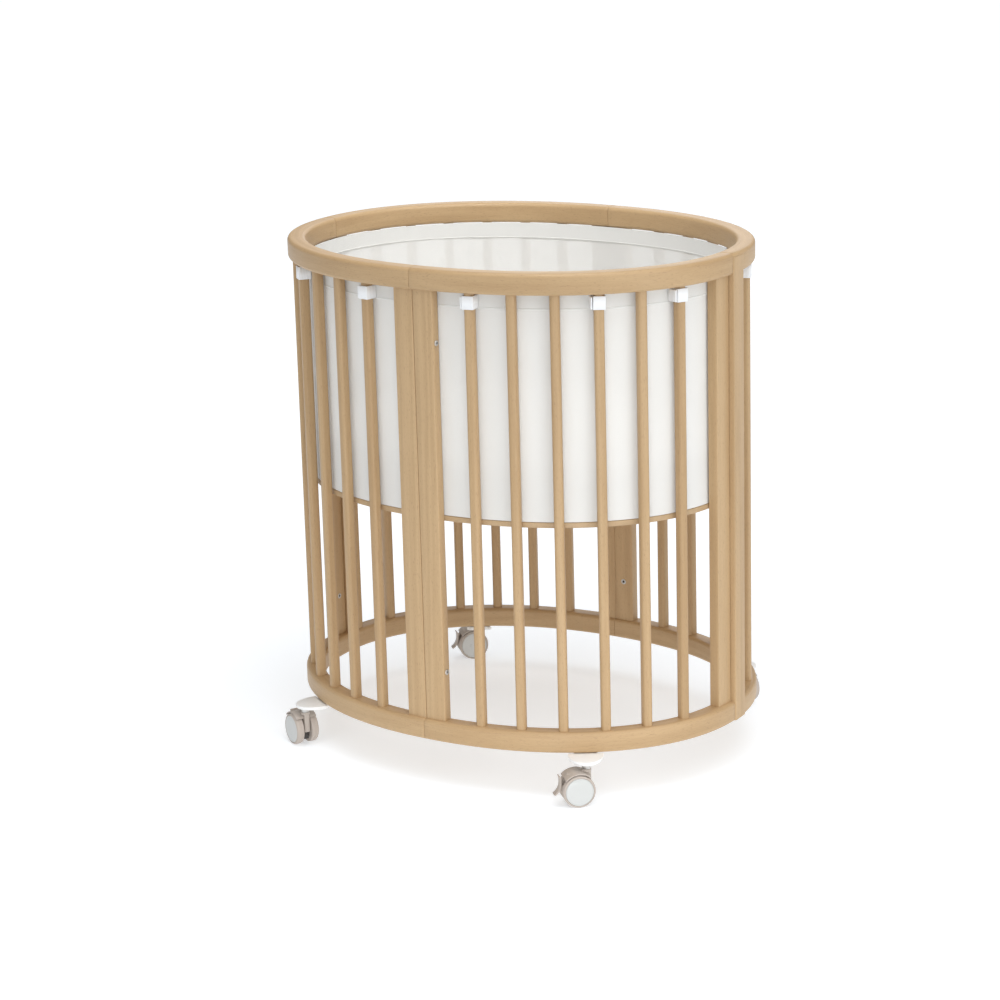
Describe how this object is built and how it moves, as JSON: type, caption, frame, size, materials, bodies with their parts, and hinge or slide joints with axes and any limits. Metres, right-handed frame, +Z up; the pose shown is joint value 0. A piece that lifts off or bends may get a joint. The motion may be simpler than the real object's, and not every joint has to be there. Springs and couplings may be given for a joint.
{
  "type": "baby crib",
  "caption": "Oval baby crib of slatted beech panels with a mattress on a raised base, a sheer fabric liner and swivelling, braked twin-wheel casters.",
  "frame": {"origin": "on the floor, below the middle of the crib", "axes": "+X along the crib, +Y to its back, +Z up"},
  "size_m": [0.81, 0.642, 0.861],
  "materials": {
    "beech": "clear satin lacquer",
    "plywood": "clear satin lacquer",
    "white_plastic": "satin",
    "taupe_plastic": "satin",
    "wheel_tread": "soft, matt",
    "mattress_cover": "plain weave",
    "sheer_fabric": "sheer mesh"
  },
  "bodies": {
    "crib_frame": {"top_rail_front_right": "beech", "bottom_rail_front_right": "beech", "top_rail_front_left": "beech", "bottom_rail_front_left": "beech", "top_rail_back_left": "beech", "bottom_rail_back_left": "beech", "top_rail_back_right": "beech", "bottom_rail_back_right": "beech", "slat_front_right_1": "beech", "slat_front_right_2": "beech", "slat_front_right_3": "beech", "slat_front_right_4": "beech", "slat_front_right_5": "beech", "slat_front_right_6": "beech", "slat_front_left_1": "beech", "slat_front_left_2": "beech", "slat_front_left_3": "beech", "slat_front_left_4": "beech", "slat_front_left_5": "beech", "slat_front_left_6": "beech", "slat_back_left_1": "beech", "slat_back_left_2": "beech", "slat_back_left_3": "beech", "slat_back_left_4": "beech", "slat_back_left_5": "beech", "slat_back_left_6": "beech", "slat_back_right_1": "beech", "slat_back_right_2": "beech", "slat_back_right_3": "beech", "slat_back_right_4": "beech", "slat_back_right_5": "beech", "slat_back_right_6": "beech", "board_front_right_mid": "beech", "board_front_right_end": "beech", "board_front_left_mid": "beech", "board_front_left_end": "beech", "board_back_left_mid": "beech", "board_back_left_end": "beech", "board_back_right_mid": "beech", "board_back_right_end": "beech", "bracket_front_right": "white_plastic", "bracket_front_left": "white_plastic", "bracket_back_left": "white_plastic", "bracket_back_right": "white_plastic", "mattress_base": "plywood", "mattress": "mattress_cover", "liner": "sheer_fabric"},
    "caster_front_right": {"swivel_front_right": "taupe_plastic"},
    "wheel_pair_front_right": {"wheels_front_right": "wheel_tread"},
    "brake_pedal_front_right": {"brake_front_right": "taupe_plastic"},
    "caster_front_left": {"swivel_front_left": "taupe_plastic"},
    "wheel_pair_front_left": {"wheels_front_left": "wheel_tread"},
    "brake_pedal_front_left": {"brake_front_left": "taupe_plastic"},
    "caster_back_left": {"swivel_back_left": "taupe_plastic"},
    "wheel_pair_back_left": {"wheels_back_left": "wheel_tread"},
    "brake_pedal_back_left": {"brake_back_left": "taupe_plastic"},
    "caster_back_right": {"swivel_back_right": "taupe_plastic"},
    "wheel_pair_back_right": {"wheels_back_right": "wheel_tread"},
    "brake_pedal_back_right": {"brake_back_right": "taupe_plastic"}
  },
  "joints": [
    {"name": "swivel_turn_front_right", "type": "hinge", "parent": "crib_frame", "child": "caster_front_right", "pos_m": [0.281, -0.2725, 0.06], "axis": [0, 0, 1], "continuous": true},
    {"name": "wheel_spin_front_right", "type": "hinge", "parent": "caster_front_right", "child": "wheel_pair_front_right", "pos_m": [0.26985, -0.28397, 0.027], "axis": [-0.7169, 0.6972, 0], "continuous": true},
    {"name": "brake_press_front_right", "type": "hinge", "parent": "caster_front_right", "child": "brake_pedal_front_right", "pos_m": [0.25486, -0.29938, 0.03], "axis": [0.7169, -0.6972, 0], "range_deg": [0, 12]},
    {"name": "swivel_turn_front_left", "type": "hinge", "parent": "crib_frame", "child": "caster_front_left", "pos_m": [-0.281, -0.2725, 0.06], "axis": [0, 0, 1], "continuous": true},
    {"name": "wheel_spin_front_left", "type": "hinge", "parent": "caster_front_left", "child": "wheel_pair_front_left", "pos_m": [-0.29513, -0.26499, 0.027], "axis": [0.4695, 0.8829, 0], "continuous": true},
    {"name": "brake_press_front_left", "type": "hinge", "parent": "caster_front_left", "child": "brake_pedal_front_left", "pos_m": [-0.31411, -0.25489, 0.03], "axis": [-0.4695, -0.8829, 0], "range_deg": [0, 12]},
    {"name": "swivel_turn_back_left", "type": "hinge", "parent": "crib_frame", "child": "caster_back_left", "pos_m": [-0.281, 0.2725, 0.06], "axis": [0, 0, 1], "continuous": true},
    {"name": "wheel_spin_back_left", "type": "hinge", "parent": "caster_back_left", "child": "wheel_pair_back_left", "pos_m": [-0.29215, 0.26103, 0.027], "axis": [-0.7169, 0.6972, 0], "continuous": true},
    {"name": "brake_press_back_left", "type": "hinge", "parent": "caster_back_left", "child": "brake_pedal_back_left", "pos_m": [-0.30714, 0.24562, 0.03], "axis": [0.7169, -0.6972, 0], "range_deg": [0, 12]},
    {"name": "swivel_turn_back_right", "type": "hinge", "parent": "crib_frame", "child": "caster_back_right", "pos_m": [0.281, 0.2725, 0.06], "axis": [0, 0, 1], "continuous": true},
    {"name": "wheel_spin_back_right", "type": "hinge", "parent": "caster_back_right", "child": "wheel_pair_back_right", "pos_m": [0.26687, 0.28001, 0.027], "axis": [0.4695, 0.8829, 0], "continuous": true},
    {"name": "brake_press_back_right", "type": "hinge", "parent": "caster_back_right", "child": "brake_pedal_back_right", "pos_m": [0.24789, 0.29011, 0.03], "axis": [-0.4695, -0.8829, 0], "range_deg": [0, 12]}
  ]
}
